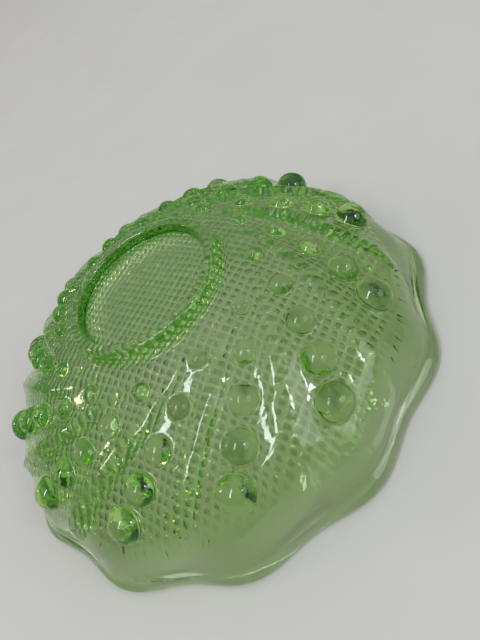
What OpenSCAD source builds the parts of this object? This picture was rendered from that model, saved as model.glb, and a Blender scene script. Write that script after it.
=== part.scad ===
// Pressed glass dish with swirled rows of hobs, stored upside down on its scalloped rim.
// The foot ring is on top (+Z), the rim rests on z = 0 and the axis of the bowl is the Z axis.

/* [Bowl] */
// Height from the plane the rim rests on to the crest of the foot ring
dish_h = 38.5; // [37.5:0.5:40]
// Radius of the wall where it meets the outside of the foot ring
shoulder_r = 23; // [22:0.5:24]
// Radius of the wall at the outermost points of the rim
rim_r = 65; // [64:0.5:66]
// Glass left under the recessed base
base_t = 3.7; // [3.4:0.1:4.5]

/* [Foot ring] */
// Height of the foot ring over the shoulder of the wall
foot_h = 4.5; // [4:0.1:5]
// Radius to the middle of the flat land that the upright dish stands on
land_r = 20; // [19.8:0.1:20.4]
// Width of that flat land
land_w = 1.2; // [0.8:0.1:1.6]
// Radius of the recessed base inside the ring
recess_r = 18; // [17.5:0.1:18.4]
// Depth of the recessed base below the land
recess_d = 2.8; // [2.4:0.1:3]

/* [Scalloped rim] */
// Number of lobes in the rim, and of hob rows on the wall
lobes = 12; // [12:1:12]
// Radius of the round lip under the rim, which is half the thickness of the glass there
lip_r = 2; // [1.8:0.1:2.2]
// Radius of the arc that the outside of each lobe follows
lobe_arc_r = 29; // [28:0.5:31]

/* [Hobs] */
// Hobs in one row
hobs = 5; // [3:1:5]
// Distance from the axis to the first hob of a row
hob_first_r = 29.6; // [29:0.1:30]
// Step from one hob to the next, measured outwards from the axis
hob_step = 6.1; // [5.8:0.1:6.2]
// Radius of the first and smallest hob
hob_size = 2.4; // [2:0.1:2.6]
// How much each hob's radius grows over the one before it
hob_growth = 0.55; // [0.4:0.05:0.6]
// How far each hob's centre lies under the face of the wall
hob_sink = 0.3; // [0.2:0.1:0.6]
// Angle that a row would turn through from its first hob to infinity
swirl = 94; // [0:1:110]

/* [Hidden] */

$fn = 96;
glass = [0.55, 0.80, 0.35, 0.6];
shoulder_z = dish_h - foot_h;
recess_z = dish_h - recess_d;
ceiling_z = recess_z - base_t;

// How far the wall would flare past the lobes, if their outline didn't trim it
flare = 0.4;
// Control points of the wall's outer curve, from the shoulder to the rim
outer = [[shoulder_r, shoulder_z], [shoulder_r + 6.5, shoulder_z], [rim_r - 6.5, shoulder_z - 16], [rim_r + flare, lip_r]];
// Control points of the inner curve, from the flat middle to the rim
inner = [[14, ceiling_z], [30, ceiling_z], [rim_r - 10.5, ceiling_z - 19], [rim_r + flare - 2 * lip_r, lip_r]];
// Control points of the foot ring's outer flank, from the land to the shoulder
flank = [[land_r + land_w / 2, dish_h], [shoulder_r - 0.8, dish_h], [shoulder_r - 1, shoulder_z + 1.2], outer[0]];
// Control points of its inner flank, from the recess to the land
cove = [[recess_r, recess_z], [recess_r + 0.7, recess_z], [recess_r + 0.6, dish_h], [land_r - land_w / 2, dish_h]];

// Shares of the inner and outer curves at which one piece ends and the next begins
disc_end = 0.08;
ring_end = 0.17;
wall_end = 0.78;
steps = 16;

// Distance from the axis to the centre of each lobe's arc
lobe_centre = rim_r - lobe_arc_r;

function row_name(k) = str("hob_row_", k < 10 ? "0" : "", k);
function bezier(p, t) =
    pow(1 - t, 3) * p[0] + 3 * pow(1 - t, 2) * t * p[1] + 3 * (1 - t) * t * t * p[2] + pow(t, 3) * p[3];
function curve(p, from, to, n = steps) = [for (i = [0:n]) bezier(p, from + (to - from) * i / n)];

// Share of a rising curve at which it is r from the axis, found by halving
function share_at(p, r, low = 0, high = 1, left = 30) =
    left == 0 ? (low + high) / 2
    : bezier(p, (low + high) / 2)[0] < r ? share_at(p, r, (low + high) / 2, high, left - 1)
    : share_at(p, r, low, (low + high) / 2, left - 1);
function slope_at(p, t) = let(d = bezier(p, t + 0.001) - bezier(p, t - 0.001)) atan2(-d[1], d[0]);
// Angle by which a row has turned back at a distance r from the axis
function turn_at(r) = swirl * (1 - hob_first_r / r);

// The recessed disc in the middle of the base
module base_disc() {
    color(glass)
    rotate_extrude()
    polygon(concat([[0, recess_z], [recess_r, recess_z]], curve(inner, disc_end, 0, 4), [[0, ceiling_z]]));
}

// The rounded ring that the upright dish stands on, through the full thickness of the glass
module foot_ring() {
    color(glass)
    rotate_extrude()
    polygon(concat(curve(cove, 0, 1, 8), curve(flank, 0, 1, 10), curve(inner, ring_end, disc_end, 4)));
}

// The wall between the foot ring and the rim, without its hobs
module bowl_wall() {
    color(glass)
    rotate_extrude()
    polygon(concat(curve(outer, 0, wall_end), curve(inner, wall_end, ring_end)));
}

// The lobed outline of the rim, seen along the axis
module lobed_outline() {
    circle(r = rim_r * 0.8);
    for (k = [1:lobes])
        rotate([0, 0, 360 / lobes * (k - 1) - turn_at(rim_r)])
        translate([lobe_centre, 0]) circle(r = lobe_arc_r);
}

// The plain band that flares to the rim, with a round lip and a lobe at the end of each hob row
module rim_band() {
    lip = [for (a = [-15:-15:-165]) [rim_r + flare - lip_r + lip_r * cos(a), lip_r + lip_r * sin(a)]];
    color(glass)
    intersection() {
        rotate_extrude()
        polygon(concat(curve(outer, wall_end, 1, 8), lip, curve(inner, 1, wall_end, 8)));
        translate([0, 0, -1]) linear_extrude(dish_h) lobed_outline();
    }
}

// Everything under the outer face of the wall, to trim the hobs to it
module under_wall() {
    rotate_extrude()
    polygon(concat([[0, shoulder_z]], curve(outer, 0, wall_end), [[bezier(outer, wall_end)[0], 0], [0, 0]]));
}

// One row of round hobs, which curves back as it goes out to a lobe of the rim
module hob_row(k) {
    color(glass)
    difference() {
        for (i = [0:hobs - 1]) {
            r = hob_first_r + i * hob_step;
            t = share_at(outer, r);
            a = slope_at(outer, t);
            rotate([0, 0, 360 / lobes * (k - 1) - turn_at(r)])
            translate([r - hob_sink * sin(a), 0, bezier(outer, t)[1] - hob_sink * cos(a)])
            sphere(r = hob_size + i * hob_growth, $fn = 48);
        }
        under_wall();
    }
}

base_disc();
foot_ring();
bowl_wall();
rim_band();
for (k = [1:lobes]) hob_row(k);
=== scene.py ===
"""A pressed uranium glass dish, upside down on its scalloped rim, with its foot ring on top."""

import math

import bmesh
import bpy
import numpy as np
from mathutils import Matrix, Vector


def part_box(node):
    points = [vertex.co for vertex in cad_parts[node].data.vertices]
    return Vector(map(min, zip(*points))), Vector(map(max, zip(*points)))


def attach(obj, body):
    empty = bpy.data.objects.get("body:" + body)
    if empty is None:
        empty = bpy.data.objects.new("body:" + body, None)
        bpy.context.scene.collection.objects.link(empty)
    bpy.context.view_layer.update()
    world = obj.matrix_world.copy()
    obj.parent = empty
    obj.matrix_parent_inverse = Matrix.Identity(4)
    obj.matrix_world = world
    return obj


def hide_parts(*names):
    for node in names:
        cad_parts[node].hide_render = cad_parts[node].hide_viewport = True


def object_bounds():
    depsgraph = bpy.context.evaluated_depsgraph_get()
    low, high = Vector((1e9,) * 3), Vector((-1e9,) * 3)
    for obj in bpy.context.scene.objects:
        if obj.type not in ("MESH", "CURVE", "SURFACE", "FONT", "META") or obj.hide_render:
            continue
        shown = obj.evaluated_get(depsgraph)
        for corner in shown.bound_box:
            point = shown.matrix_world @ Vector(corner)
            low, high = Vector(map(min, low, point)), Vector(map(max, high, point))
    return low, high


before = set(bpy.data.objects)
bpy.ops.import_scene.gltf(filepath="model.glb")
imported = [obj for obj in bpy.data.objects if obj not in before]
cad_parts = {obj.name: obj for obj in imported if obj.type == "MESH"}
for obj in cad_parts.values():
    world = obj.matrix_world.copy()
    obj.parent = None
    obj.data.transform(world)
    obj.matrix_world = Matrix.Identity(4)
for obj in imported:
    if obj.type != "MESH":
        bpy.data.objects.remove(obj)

cad_low, cad_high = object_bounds()

# --------------------------------------------------------------------------------------------------
# The outside of the dish, which the mould forms in one stroke of the press: a bowl of green glass
# that flares from the foot to the rim, with twelve rows of round hobs. Each row swirls back as it
# goes out, in a hollow between two crests, and ends at one lobe of the scalloped rim.
# --------------------------------------------------------------------------------------------------
MM = 0.001
LOBES = 12
AROUND = 20  # steps across one lobe
TOP = cad_high.z
SHOULDER_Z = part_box("bowl_wall")[1].z
SHOULDER_R = 23 * MM
LIP_R = 2 * MM
LIP_MID = 63.2 * MM  # distance from the axis to the middle of the round lip
LIP_TOP = 52  # degrees from level at which the wall meets the lip

HOBS = 5
HOB_FIRST = 29.6 * MM
HOB_STEP = 6.1 * MM
HOB_SIZE = 2.4 * MM
HOB_GROWTH = 0.55 * MM
HOB_FLATNESS = 0.16  # share of its radius by which each hob is sunk in the wall
HOB_FILLET = 0.3 * MM
DOME_RINGS = 8
DOME_END = 78  # degrees from the top of a hob to where its fillet starts
CELL_TILT = 0.2  # slant of the mesh lines that pass between the hobs of a row
CELL_INNER = 3.2 * MM  # from the first hob's middle to the inner edge of its cell
CELL_OUTER = 3.3 * MM  # from the last hob's middle to the outer edge of its cell
SWIRL = math.radians(94)
LOBE_DEPTH = 0.046  # share of the radius by which the rim draws in between two lobes
RIDGE = 2.4 * MM
RIDGE_POWER = 2.4
RIDGE_START = 25 * MM
RIDGE_GROWTH = 14 * MM
RIDGE_END = 6 * MM
RIPPLE = 0.08 * MM
RIPPLE_WAVES = 9
RIPPLE_LENGTHS = (7, 22)  # shortest and longest wave, in millimetres
CALM_Z = 6 * MM  # height up to which the glass has no ripples, so that its faces meet at the lip


def bezier(points, t):
    """A cubic curve: its four points weighted by the terms of (1 - t + t) cubed."""
    t = np.asarray(t)[..., None]
    p = np.asarray(points)
    return (1 - t) ** 3 * p[0] + 3 * (1 - t) ** 2 * t * p[1] + 3 * (1 - t) * t**2 * p[2] + t**3 * p[3]


def on_lip(degrees):
    """The point of the round lip at an angle from level, with level pointing away from the axis."""
    a = math.radians(degrees)
    return (LIP_MID + LIP_R * math.cos(a), LIP_R + LIP_R * math.sin(a))


WALL = [(SHOULDER_R, SHOULDER_Z), (29.5 * MM, SHOULDER_Z), (57.2 * MM, 20 * MM), (61.4 * MM, 8.8 * MM)]
FLARE = [WALL[3], (62.2 * MM, 6.6 * MM), (62.9 * MM, 4.7 * MM), on_lip(LIP_TOP)]
wall_table = np.concatenate([
    bezier(WALL, np.linspace(0, 1, 500)),
    bezier(FLARE, np.linspace(0, 1, 100)[1:]),
])
wall_run = np.concatenate([[0], np.cumsum(np.hypot(*np.diff(wall_table, axis=0).T))])


def wall_r(run):
    """Distance from the axis at a distance down the wall, looked up in the table of the curve."""
    return np.interp(run, wall_run, wall_table[:, 0])


def wall_z(run):
    """Height at a distance down the wall, looked up in the table of the curve."""
    return np.interp(run, wall_run, wall_table[:, 1])


def run_at(r):
    """How far down the wall a point at distance r from the axis is, looked up in the same table."""
    return np.interp(r, wall_table[:, 0], wall_run)


def slope_at(run):
    """Angle by which the wall falls away: its drop over its gain in radius, across a short step."""
    step = 0.2 * MM
    return np.arctan2(wall_z(run - step) - wall_z(run + step), wall_r(run + step) - wall_r(run - step))


def turn(r):
    """Angle by which the rows have swirled back at distance r: it grows with 1 less the inverse of r."""
    return SWIRL * (1 - HOB_FIRST / np.clip(r, SHOULDER_R, LIP_MID))


def scallop(r, phase, depth):
    """Share of r that is left at a phase across the lobes: 1 less a raised cosine.

    All of it is left on a row, and least midway between two rows. The depth grows with the fifth power of
    the way from the shoulder to the rim.
    """
    share = np.clip((r - SHOULDER_R) / (LIP_MID - SHOULDER_R), 0, 1) ** 5
    return 1 - depth * share * (1 - np.cos(LOBES * phase)) / 2


def ridge(r, phase):
    """How far the face stands up between two rows: a power of the distance from the row, up to a crest."""
    swell = np.clip((r - RIDGE_START) / RIDGE_GROWTH, 0, 1) * np.clip((LIP_MID - r) / RIDGE_END, 0, 1)
    return swell * (np.arccos(np.cos(LOBES * phase)) / math.pi) ** RIDGE_POWER


def ripple(x, y, z, seed):
    """The slight waviness of pressed glass: a sum of sine waves in random directions, less near the rim."""
    rng = np.random.default_rng(seed)
    total = 0
    for _ in range(RIPPLE_WAVES):
        a = rng.uniform(0, 2 * math.pi)
        length = rng.uniform(*RIPPLE_LENGTHS) * MM
        start = rng.uniform(0, 2 * math.pi)
        total = total + np.sin(2 * math.pi * (x * math.cos(a) + y * math.sin(a)) / length + start)
    return RIPPLE * total / math.sqrt(RIPPLE_WAVES) * np.clip(z / CALM_Z - 1, 0, 1)


def turned(r, z, angle, depth=LOBE_DEPTH, seed=1, rise=0, slope=0):
    """Points at distance r, height z and an angle round the axis, with lobes, crests and ripples.

    A crest stands up at right angles to a face that falls away by the slope, and the lobes then scale the
    distance from the axis.
    """
    r, z, angle = np.broadcast_arrays(r, z, angle)
    phase = angle + turn(r)
    height = rise * ridge(r, phase)
    at = (r + height * np.sin(slope)) * scallop(r, phase, depth)
    z = z + height * np.cos(slope)
    x, y = at * np.cos(angle), at * np.sin(angle)
    return np.stack([x, y, z + ripple(x, y, z, seed)], -1)


def wall(run, angle):
    """Points on the outer face at a distance down the wall and an angle round the axis."""
    return turned(wall_r(run), wall_z(run), angle, rise=RIDGE, slope=slope_at(run))


skin_points, skin_faces = [], []


def numbered(shape):
    """Numbers for the next points of the skin, in a grid of some shape: they count on from the last."""
    return np.arange(np.prod(shape)).reshape(shape) + sum(len(p) for p in skin_points)


def add_grid(points):
    """Adds grids of points as quads: each point with the next one along the shape and the next one round it.

    The last index goes round and closes, and the one before it runs along the shape.
    """
    index = numbered(points.shape[:-1])
    following = np.roll(index, -1, -1)
    quads = [index[..., :-1, :], index[..., 1:, :], following[..., 1:, :], following[..., :-1, :]]
    skin_points.append(points.reshape(-1, 3))
    skin_faces.extend(np.stack(quads, -1).reshape(-1, 4).tolist())
    return index


def across(r, phase):
    """Distance down the wall and angle of a point at a phase across the lobes.

    The line it's on slants up and down from row to row, as a zigzag of the phase, so that it passes between
    the hobs of a swirled row.
    """
    ramp = np.clip((r - SHOULDER_R) / (8 * MM), 0, 1) * np.clip((LIP_MID - r) / (7 * MM), 0, 1)
    zigzag = np.arcsin(np.sin(LOBES * phase)) / LOBES
    return run_at(r) + CELL_TILT * ramp * r * zigzag, phase - turn(r)


sizes = HOB_SIZE + HOB_GROWTH * np.arange(HOBS)
centres = HOB_FIRST + HOB_STEP * np.arange(HOBS)
shares = sizes[:-1] / (sizes[:-1] + sizes[1:])
edges = np.concatenate([
    [centres[0] - CELL_INNER],
    centres[:-1] + HOB_STEP * shares,
    [centres[-1] + CELL_OUTER],
])

# The wall is a net of cells, one round each hob. Each cell's border goes along, out, back and in.
half = math.pi / LOBES
level = np.linspace(-half, half, AROUND + 1)[:-1]
upright = np.linspace(0, 1, 9)[:-1]
low, high = edges[:-1, None], edges[1:, None]
border_r = np.hstack([
    low + 0 * level,
    low + (high - low) * upright,
    high + 0 * level,
    high + (low - high) * upright,
])
border_phase = np.concatenate([level, half + 0 * upright, -level, -half + 0 * upright])
rows = np.arange(LOBES)[:, None, None] * 2 * half

border_run, border_angle = across(border_r, border_phase)
border_angle = border_angle + rows
centre_run = run_at(centres)[None, :, None]
centre_angle = rows - turn(centres)[None, :, None]
heading = np.arctan2((border_angle - centre_angle) * centres[None, :, None], border_run - centre_run)

# A hob is a ball sunk in the wall: rings from its top down to the fillet, then two for the fillet.
# The further out a ring lies, the more it follows the face of the wall instead of the hob's own seat.
dome = np.radians(np.linspace(0, DOME_END, DOME_RINGS))
fillet_out = np.array([0] * DOME_RINGS + [0.12, 1])[:, None] * HOB_FILLET
fillet_up = 0.35 * HOB_FILLET
size = sizes[None, :, None, None]
out = np.concatenate([np.sin(dome), [1, 1]])[:, None] * size + fillet_out
up = np.concatenate([np.cos(dome) - HOB_FLATNESS, [0, 0]])[:, None] * size
up[..., DOME_RINGS, :] += fillet_up
settle = (out / out[..., -1:, :]) ** 4
cosine, sine = np.cos(heading)[:, :, None], np.sin(heading)[:, :, None]
ring_run = centre_run[..., None, :] + out * cosine
ring_angle = centre_angle[..., None, :] + out * sine / wall_r(ring_run)
fall = slope_at(centre_run)[..., None, :]
bearing = centre_angle[..., None, :]
ones = np.ones_like(bearing * fall)


def vector(r, z, angle):
    """A direction with a share r away from the axis at an angle round it, and a share z upwards."""
    return np.stack([r * np.cos(angle), r * np.sin(angle), z * ones], -1)


normal = vector(np.sin(fall), np.cos(fall), bearing)
downhill = vector(np.cos(fall), -np.sin(fall), bearing)
sideways = vector(1, 0, bearing + math.pi / 2)
seat = wall(centre_run[..., None, :], bearing)
ball = seat + (out * cosine)[..., None] * downhill + (out * sine)[..., None] * sideways
ground = wall(ring_run, ring_angle)
hob_rings = ball + settle[..., None] * (ground - ball) + up[..., None] * normal

# Three more rings go from the fillet to the cell's border, on the face of the wall.
spread = np.array([0.22, 0.55, 1])[:, None]
edge_run, edge_angle = border_run[None, :, None], border_angle[:, :, None]
skirt_run = ring_run[..., -1:, :] + spread * (edge_run - ring_run[..., -1:, :])
skirt_angle = ring_angle[..., -1:, :] + spread * (edge_angle - ring_angle[..., -1:, :])
add_grid(np.concatenate([hob_rings, wall(skirt_run, skirt_angle)], -3))

all_round = np.arange(LOBES * AROUND) * 2 * half / AROUND - half
add_grid(wall(*across(np.linspace(SHOULDER_R, edges[0], 5)[:, None], all_round)))
rim_side = np.concatenate([
    np.linspace(edges[-1], WALL[3][0], 5),
    np.linspace(WALL[3][0], FLARE[3][0], 6)[1:],
])
add_grid(wall(*across(rim_side[:, None], all_round)))

# --------------------------------------------------------------------------------------------------
# The foot: a rounded ring that the dish stands on when it's the right way up, and the flat recess
# inside it. The mould forms both in one piece with the wall.
# --------------------------------------------------------------------------------------------------
LAND_R = 20 * MM
LAND_W = 1.2 * MM
RECESS_R = 18 * MM
RECESS_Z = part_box("base_disc")[1].z
FLANK = [(SHOULDER_R, SHOULDER_Z), (SHOULDER_R - 1 * MM, SHOULDER_Z + 1.2 * MM),
         (SHOULDER_R - 0.8 * MM, TOP), (LAND_R + LAND_W / 2, TOP)]
COVE = [(LAND_R - LAND_W / 2, TOP), (RECESS_R + 0.2 * MM, TOP),
        (RECESS_R + 0.6 * MM, RECESS_Z), (RECESS_R, RECESS_Z)]

outer_flank = bezier(FLANK, np.linspace(0, 1, 9))
inner_flank = bezier(COVE, np.linspace(0, 1, 10))
recess = np.stack([np.linspace(RECESS_R, 0, 6)[1:], np.full(5, RECESS_Z)], -1)
foot = np.concatenate([outer_flank, inner_flank, recess])
foot_index = add_grid(turned(foot[:, :1], foot[:, 1:], all_round - turn(SHOULDER_R)))

# Painted shade: how far each ring of the inner flank is tinted a dark green, from the land down to the recess
flank_index = foot_index[len(outer_flank) : len(outer_flank) + len(inner_flank)]
flank_shade_share = np.array([0, 0.3, 0.8, 1, 1, 1, 1, 1, 0.6, 0])

# --------------------------------------------------------------------------------------------------
# The inside, which the plunger forms: a smooth lip and band at the rim, and a fine square net over
# the rest. The net's ridges stand up from the glass, and the squares between them are sunk.
# --------------------------------------------------------------------------------------------------
CEILING_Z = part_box("base_disc")[0].z
INNER_LOBES = 0.03
INNER_RIDGE = 1.2 * MM
NET_PITCH = 1.95 * MM
NET_DEPTH = 0.4 * MM
NET_TURN = math.radians(29)
NET_R = 55.6 * MM
NET_FADE = 4 * MM
BAND_R = NET_R + 1.5 * MM  # where the plain band ends and a strip of triangles joins it to the net
LIP_END = -149.9  # degrees from level at which the lip meets the band
INSIDE_STEP = 0.3 * MM
INSIDE_SEED = 2
INSIDE = [(14 * MM, CEILING_Z), (30 * MM, CEILING_Z), (54.5 * MM, 13 * MM), on_lip(LIP_END + 360)]

inside_table = bezier(INSIDE, np.linspace(0, 1, 600))


def inside_z(r):
    """Height of the inside at distance r from the axis, looked up in the table of its curve."""
    return np.interp(r, inside_table[:, 0], inside_table[:, 1])


def inside_drop(r):
    """How far the inside falls over two short steps outwards, one before r and one after it."""
    return inside_z(r - INSIDE_STEP) - inside_z(r + INSIDE_STEP)


def inside_rise(r, phase):
    """Height that the crests add to the inside, straight up: their rise over the cosine of the slope."""
    return INNER_RIDGE * ridge(r, phase) * np.hypot(1, inside_drop(r) / (2 * INSIDE_STEP))


lip = np.array([on_lip(a) for a in np.linspace(LIP_TOP, LIP_END, 14)])
band_r = np.linspace(inside_table[-1, 0], BAND_R, 5)
inner = np.concatenate([lip[:-1], np.stack([band_r, inside_z(band_r)], -1)])
depths = np.linspace(LOBE_DEPTH, INNER_LOBES, len(lip))
depths = np.concatenate([depths[:-1], np.full(len(band_r), INNER_LOBES)])[:, None]
lip_angles = all_round - turn(inner[:, :1])
lip_angles[: len(lip)] = all_round - turn(LIP_MID)
band = turned(inner[:, :1], inner[:, 1:], lip_angles, depths, INSIDE_SEED)
band[len(lip) - 1 :, :, 2] += inside_rise(band_r[:, None], all_round)
band_index = add_grid(band)

# Four lines to a square of the net: where its sunk part starts, is full, is still full and ends
stops = np.array([0.12, 0.32, 0.68, 0.88])
sunk = np.array([0.0, 1.0, 1.0, 0.0])
cells = np.arange(-math.ceil(NET_R / NET_PITCH) - 1, math.ceil(NET_R / NET_PITCH) + 1)
line = ((cells[:, None] + stops) * NET_PITCH).ravel()
line_sunk = np.tile(sunk, len(cells))
across_net, along_net = np.meshgrid(line, line, indexing="ij")
net_x = across_net * math.cos(NET_TURN) - along_net * math.sin(NET_TURN)
net_y = across_net * math.sin(NET_TURN) + along_net * math.cos(NET_TURN)
plan_r, net_angle = np.hypot(net_x, net_y), np.arctan2(net_y, net_x)

# The lobes draw the glass in, so each point comes from further out on the plain turned shape.
mould_r = plan_r
for _ in range(3):
    mould_r = plan_r / scallop(mould_r, net_angle + turn(mould_r), INNER_LOBES)
fade = np.clip((NET_R - mould_r) / NET_FADE, 0, 1)
# How far each point of the net is sunk; the same share sets the painted shade of the sunk squares
pit = line_sunk[:, None] * line_sunk[None, :] * fade
relief = NET_DEPTH * pit
lean = np.arctan2(inside_drop(mould_r), 2 * INSIDE_STEP)
plain_z = inside_z(mould_r)
net_z = plain_z + inside_rise(mould_r, net_angle + turn(mould_r)) + ripple(net_x, net_y, plain_z, INSIDE_SEED)
net_points = np.stack([
    net_x + relief * np.sin(lean) * np.cos(net_angle),
    net_y + relief * np.sin(lean) * np.sin(net_angle),
    net_z + relief * np.cos(lean),
], -1)

in_net = plan_r < NET_R
kept = in_net[:-1, :-1] & in_net[1:, :-1] & in_net[1:, 1:] & in_net[:-1, 1:]
net_index = numbered(plan_r.shape)
quads = [net_index[:-1, :-1], net_index[1:, :-1], net_index[1:, 1:], net_index[:-1, 1:]]
skin_points.append(net_points.reshape(-1, 3))
skin_faces.extend(np.stack(quads, -1)[kept].tolist())

# A point on the outline of the net touches some of the kept squares, but not four of them.
touching = np.zeros(plan_r.shape, int)
for i in (0, 1):
    for j in (0, 1):
        touching[i : i + kept.shape[0], j : j + kept.shape[1]] += kept
outline = (touching > 0) & (touching < 4)


def zipper(index_a, angle_a, index_b, angle_b):
    """Triangles between two rings: by angle, each point joins the last point before it on either ring."""
    index = np.concatenate([index_a, index_b])
    from_a = np.arange(len(index)) < len(index_a)
    order = np.argsort(np.concatenate([angle_a, angle_b]) % (2 * math.pi), kind="stable")
    index, from_a = np.tile(index[order], 2), np.tile(from_a[order], 2)
    place = np.arange(len(index))
    last_a = np.maximum.accumulate(np.where(from_a, place, -1))
    last_b = np.maximum.accumulate(np.where(from_a, -1, place))
    here = np.arange(len(order), len(index))
    return np.stack([index[last_a[here - 1]], index[last_b[here - 1]], index[here]], -1)


band_angle = np.arctan2(band[-1, :, 1], band[-1, :, 0])
skin_faces.extend(zipper(net_index[outline], net_angle[outline], band_index[-1], band_angle).tolist())

# The skin is closed where its grids meet, and its faces are turned outwards.
mesh = bpy.data.meshes.new("pressed_dish")
mesh.from_pydata(np.concatenate(skin_points), [], skin_faces)
# Shares of painted shade for the material: on the sunk squares of the net and the inner flank of the foot
# ring
for name, points, values in (("pit", net_index, pit), ("painted_flank_shade", flank_index, flank_shade_share[:, None])):
    share = np.zeros(len(mesh.vertices))
    share[points] = values
    mesh.attributes.new(name, "FLOAT", "POINT").data.foreach_set("value", share)
shell = bmesh.new()
shell.from_mesh(mesh)
bmesh.ops.delete(shell, geom=[v for v in shell.verts if not v.link_faces], context="VERTS")
bmesh.ops.remove_doubles(shell, verts=shell.verts, dist=0.002 * MM)
bmesh.ops.recalc_face_normals(shell, faces=shell.faces)
shell.to_mesh(mesh)
shell.free()
mesh.shade_smooth()
dish = bpy.data.objects.new("pressed_dish", mesh)
bpy.context.scene.collection.objects.link(dish)

# --------------------------------------------------------------------------------------------------
# The glass: soda glass with a little uranium oxide, which takes out red and blue by depth. Thin
# glass is a pale olive green and thick glass a dark green. Painted shade, a darker green, is put
# on the sunk squares of the net and the inner flank of the foot ring. The face keeps the faint
# chill marks of the mould.
# --------------------------------------------------------------------------------------------------
CLEAR = (1, 1, 1, 1)
# Colours of painted shade: a darker green on the sunk squares of the net, a dark green on the inner flank
PIT_PAINTED_SHADE = (0.33, 0.45, 0.24, 1)
FLANK_PAINTED_SHADE = (0.08, 0.42, 0.02, 1)
GLASS_GREEN = (0.565, 0.875, 0.06, 1)
GLASS_DENSITY = 98
GLASS_IOR = 1.52
CHILL_SCALE = 260  # chill marks in a metre, so each is about 4 mm wide
CHILL_DEPTH = 0.12 * MM
CHILL_ROUGHNESS = 0.05

glass = bpy.data.materials.new("uranium_glass")
glass.use_nodes = True
nodes, links = glass.node_tree.nodes, glass.node_tree.links
surface = nodes["Principled BSDF"]
surface.inputs["Transmission Weight"].default_value = 1
surface.inputs["IOR"].default_value = GLASS_IOR


def tinted(colour, attribute):
    """A colour mix from its first colour to a colour of painted shade, by the share that an attribute of the
    points gives.
    """
    share = nodes.new("ShaderNodeAttribute")
    share.attribute_name = attribute
    mix = nodes.new("ShaderNodeMix")
    mix.data_type = "RGBA"
    mix.inputs["B"].default_value = colour
    links.new(share.outputs["Fac"], mix.inputs["Factor"])
    return mix


# Painted shade: the sunk squares of the net are tinted a darker green
painted_pit_shade = tinted(PIT_PAINTED_SHADE, "pit")
painted_pit_shade.inputs["A"].default_value = CLEAR
# Painted shade: the inner flank of the foot ring is tinted a dark green
flank = tinted(FLANK_PAINTED_SHADE, "painted_flank_shade")
links.new(painted_pit_shade.outputs["Result"], flank.inputs["A"])
links.new(flank.outputs["Result"], surface.inputs["Base Color"])

place = nodes.new("ShaderNodeTexCoord")
chill = nodes.new("ShaderNodeTexNoise")
chill.inputs["Scale"].default_value = CHILL_SCALE
chill.inputs["Detail"].default_value = 3
polish = nodes.new("ShaderNodeMapRange")
polish.inputs["From Min"].default_value = 0.35
polish.inputs["From Max"].default_value = 0.75
polish.inputs["To Max"].default_value = CHILL_ROUGHNESS
marks = nodes.new("ShaderNodeBump")
marks.inputs["Strength"].default_value = 1
marks.inputs["Distance"].default_value = CHILL_DEPTH
links.new(place.outputs["Object"], chill.inputs["Vector"])
links.new(chill.outputs["Fac"], polish.inputs["Value"])
links.new(polish.outputs["Result"], surface.inputs["Roughness"])
links.new(chill.outputs["Fac"], marks.inputs["Height"])
links.new(marks.outputs["Normal"], surface.inputs["Normal"])

depth = nodes.new("ShaderNodeVolumeAbsorption")
depth.inputs["Color"].default_value = GLASS_GREEN
depth.inputs["Density"].default_value = GLASS_DENSITY
links.new(depth.outputs["Volume"], nodes["Material Output"].inputs["Volume"])
mesh.materials.append(glass)

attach(dish, "root")
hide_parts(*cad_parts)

# --------------------------------------------------------------------------------------------------
# The stage: a plain pale painted floor, a soft sky that is brighter overhead, a tall window, a
# narrow one at the side, a bright wall and a small warm lamp.
# --------------------------------------------------------------------------------------------------
FLOOR_SIZE = 8
FLOOR_DARK = (0.52, 0.487, 0.447, 1)
FLOOR_LIGHT = (0.57, 0.54, 0.5, 1)
SKY_COLOUR = (0.93, 0.95, 1, 1)
SKY_LOW = 0.16  # strength of the sky at the horizon
SKY_HIGH = 0.9  # and straight up

bpy.ops.mesh.primitive_plane_add(size=FLOOR_SIZE, location=(0, 0, 0))
floor = bpy.context.object
floor.name = "floor"
paint = bpy.data.materials.new("pale_floor")
paint.use_nodes = True
floor_nodes, floor_links = paint.node_tree.nodes, paint.node_tree.links
paint_surface = floor_nodes["Principled BSDF"]
paint_surface.inputs["Roughness"].default_value = 0.6
spot = floor_nodes.new("ShaderNodeTexCoord")
wear = floor_nodes.new("ShaderNodeTexNoise")
wear.inputs["Scale"].default_value = 25
wear.inputs["Detail"].default_value = 6
shade = floor_nodes.new("ShaderNodeMix")
shade.data_type = "RGBA"
shade.inputs["A"].default_value = FLOOR_DARK
shade.inputs["B"].default_value = FLOOR_LIGHT
floor_links.new(spot.outputs["Object"], wear.inputs["Vector"])
floor_links.new(wear.outputs["Fac"], shade.inputs["Factor"])
floor_links.new(shade.outputs["Result"], paint_surface.inputs["Base Color"])
floor.data.materials.append(paint)

world = bpy.data.worlds.new("soft_sky")
bpy.context.scene.world = world
world.use_nodes = True
sky_nodes, sky_links = world.node_tree.nodes, world.node_tree.links
sky = sky_nodes["Background"]
sky.inputs["Color"].default_value = SKY_COLOUR
direction = sky_nodes.new("ShaderNodeTexCoord")
parts = sky_nodes.new("ShaderNodeSeparateXYZ")
brighter = sky_nodes.new("ShaderNodeMapRange")
brighter.inputs["To Min"].default_value = SKY_LOW
brighter.inputs["To Max"].default_value = SKY_HIGH
sky_links.new(direction.outputs["Generated"], parts.inputs["Vector"])
sky_links.new(parts.outputs["Z"], brighter.inputs["Value"])
sky_links.new(brighter.outputs["Result"], sky.inputs["Strength"])


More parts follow.
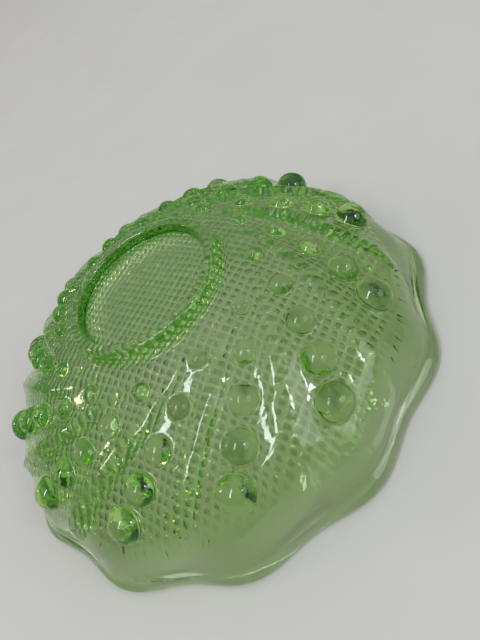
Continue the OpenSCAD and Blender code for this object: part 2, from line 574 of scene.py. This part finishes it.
def soft_light(name, azimuth, elevation, distance, width, height, power, colour):
    """A rectangular lamp at a bearing and height round the dish, which faces it."""
    data = bpy.data.lights.new(name, "AREA")
    data.shape, data.size, data.size_y = "RECTANGLE", width, height
    data.energy, data.color = power, colour
    lamp = bpy.data.objects.new(name, data)
    bpy.context.scene.collection.objects.link(lamp)
    a, e = math.radians(azimuth), math.radians(elevation)
    towards = Vector((math.cos(a) * math.cos(e), math.sin(a) * math.cos(e), math.sin(e)))
    facing = towards.to_track_quat("Z", "Y").to_matrix().to_4x4()
    lamp.matrix_world = Matrix.Translation(towards * distance) @ facing


soft_light("window", -150, 66, 2.0, 0.22, 1.4, 14, (0.84, 0.96, 1.0))
soft_light("side_window", -47, 40, 2.2, 0.12, 0.4, 4, (0.86, 0.97, 1.0))
soft_light("bright_wall", -46, 26, 2.4, 1.7, 1.1, 13, (0.92, 0.98, 1.0))
soft_light("room_light", 142, 26, 2.4, 0.3, 0.3, 3.5, (1.0, 0.85, 0.6))

# The camera's place is given in shoulder radii from the middle of the shoulder: how far back along
# its own line of sight, and how far to the right and up before it rolls.
ELEVATION, ROLL, BEARING = math.radians(43.30), math.radians(39.11), math.radians(-2.2)
CAMERA_BACK, CAMERA_RIGHT, CAMERA_RISE = 6.36, 0.590, -0.894
SENSOR = 36
LENS = 32.175
back = np.array([0, -math.cos(ELEVATION), math.sin(ELEVATION)])
right = np.array([1.0, 0, 0])
rise = np.array([0, math.sin(ELEVATION), math.cos(ELEVATION)])
about = np.array([
    [math.cos(BEARING), -math.sin(BEARING), 0],
    [math.sin(BEARING), math.cos(BEARING), 0],
    [0, 0, 1],
])
back, right, rise = about @ back, about @ right, about @ rise
steps = CAMERA_BACK * back + CAMERA_RIGHT * right + CAMERA_RISE * rise
pose = np.eye(4)
pose[:3, 0] = math.cos(ROLL) * right - math.sin(ROLL) * rise
pose[:3, 1] = math.sin(ROLL) * right + math.cos(ROLL) * rise
pose[:3, 2] = back
pose[:3, 3] = np.array([0, 0, SHOULDER_Z]) + SHOULDER_R * steps

camera_data = bpy.data.cameras.new("camera")
camera_data.sensor_width = SENSOR
camera_data.lens = LENS
camera_data.clip_start = 0.01
camera = bpy.data.objects.new("camera", camera_data)
camera.matrix_world = Matrix(pose.tolist())
bpy.context.scene.collection.objects.link(camera)
bpy.context.scene.camera = camera
bpy.context.view_layer.update()

scene = bpy.context.scene
scene.cycles.max_bounces = 20
scene.cycles.transmission_bounces = 20
scene.cycles.glossy_bounces = 8
scene.cycles.use_denoising = True
scene.view_settings.view_transform = "Standard"
